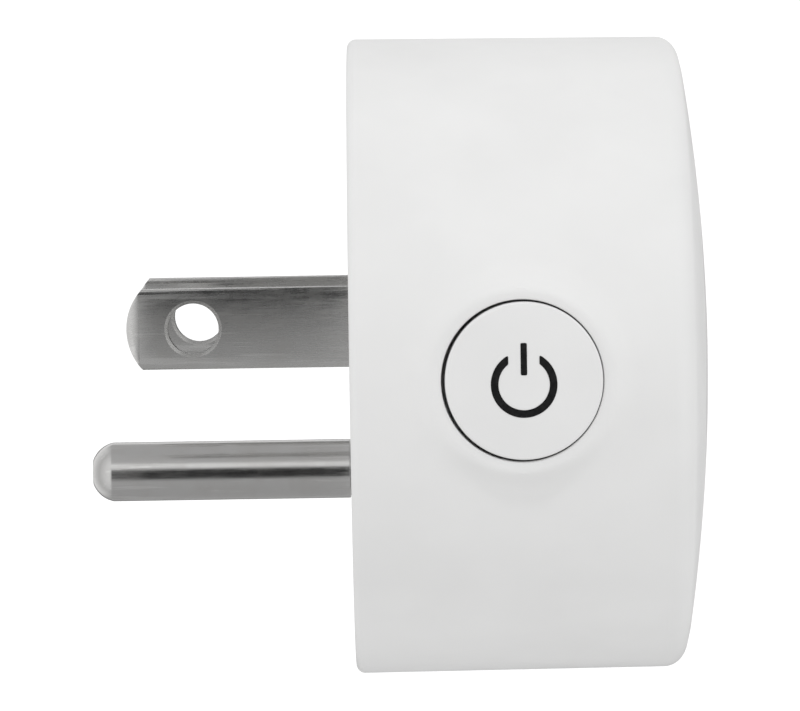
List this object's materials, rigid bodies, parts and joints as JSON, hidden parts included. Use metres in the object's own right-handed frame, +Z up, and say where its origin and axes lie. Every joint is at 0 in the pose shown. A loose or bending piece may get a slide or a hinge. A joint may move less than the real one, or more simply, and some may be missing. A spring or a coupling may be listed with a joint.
{
  "type": "plug in power meter",
  "caption": "Round plug-in meter for a grounded 15 A wall outlet: prongs at the back, an outlet in the domed front, and a push button on the side wall.",
  "frame": {"origin": "centre of the flat wall face, where the puck meets the wall plate", "axes": "+X runs through the body to the domed front, the prongs point to -X, +Z is up with the ground prong lowest, and the button looks to -Y"},
  "size_m": [0.0491, 0.0511, 0.0506],
  "materials": {
    "white_shell": "satin moulded white",
    "white_cover": "fine textured white",
    "button_white": "satin moulded white",
    "mark_black": "printed black",
    "nickel_prong": "nickel plated, satin",
    "contact_brass": "stamped",
    "strap_copper": "stamped copper alloy",
    "carrier_black": "moulded",
    "prong_block_grey": "moulded",
    "board_green": "solder mask",
    "radio_green": "solder mask",
    "screw_steel": "zinc plated",
    "shield_tin": "tinned",
    "relay_blue": "moulded",
    "relay_base_black": "moulded",
    "bobbin_white": "moulded",
    "coil_copper": "enamelled wire",
    "soft_iron": "plated",
    "silver_contact": "silver alloy",
    "capacitor_sleeve": "shrink sleeve",
    "film_yellow": "moulded box",
    "ferrite": "ferrite",
    "varistor_blue": "dipped coating",
    "fuse_green": "flameproof coating",
    "chip_black": "moulded",
    "shunt_alloy": "resistance alloy",
    "switch_black": "moulded",
    "plunger_cream": "moulded",
    "led_clear": "moulded lens"
  },
  "bodies": {
    "housing": {"bulk_capacitor": "capacitor_sleeve", "choke": "ferrite", "contact_carrier": "carrier_black", "cover_screws": "screw_steel", "film_capacitor": "film_yellow", "filter_capacitor": "capacitor_sleeve", "front_housing": "white_shell", "fuse_resistor": "fuse_green", "ground_contact": "contact_brass", "ground_pin": "nickel_prong", "ground_strap": "strap_copper", "line_blade": "nickel_prong", "line_contact": "contact_brass", "main_board": "board_green", "metering_chip": "chip_black", "neutral_blade": "nickel_prong", "neutral_contact": "contact_brass", "outlet_insert": "white_shell", "prong_carrier": "prong_block_grey", "radio_board": "radio_green", "radio_shield": "shield_tin", "rear_cover": "white_cover", "rectifier": "chip_black", "regulator_chip": "chip_black", "relay_base": "relay_base_black", "relay_bobbin": "bobbin_white", "relay_case": "relay_blue", "relay_coil": "coil_copper", "relay_fixed_contact": "strap_copper", "relay_yoke": "soft_iron", "shunt_resistor": "shunt_alloy", "status_led": "led_clear", "switch_body": "switch_black", "varistor": "varistor_blue"},
    "button": {"button_cap": "button_white", "button_symbol": "mark_black"},
    "plunger": {"switch_plunger": "plunger_cream"},
    "armature": {"relay_armature": "soft_iron", "relay_contact_arm": "strap_copper", "relay_moving_contact": "silver_contact"}
  },
  "joints": [
    {"name": "button_press", "type": "slide", "parent": "housing", "child": "button", "axis": [0, 1, 0], "range_m": [0, 0.0005], "stiffness_N_per_m": 1400, "springref_m": -0.0004},
    {"name": "plunger_press", "type": "slide", "parent": "housing", "child": "plunger", "axis": [0, 1, 0], "range_m": [0, 0.0005]},
    {"name": "armature_tip", "type": "hinge", "parent": "housing", "child": "armature", "pos_m": [0.01878, 0.00055, 0.01415], "axis": [0, 0, -1], "range_deg": [0, 2.2], "stiffness_Nm_per_rad": 0.02, "springref_deg": -1.15}
  ],
  "couplings": [
    {"joint": "plunger_press", "follows": "button_press", "ratio": 1}
  ]
}
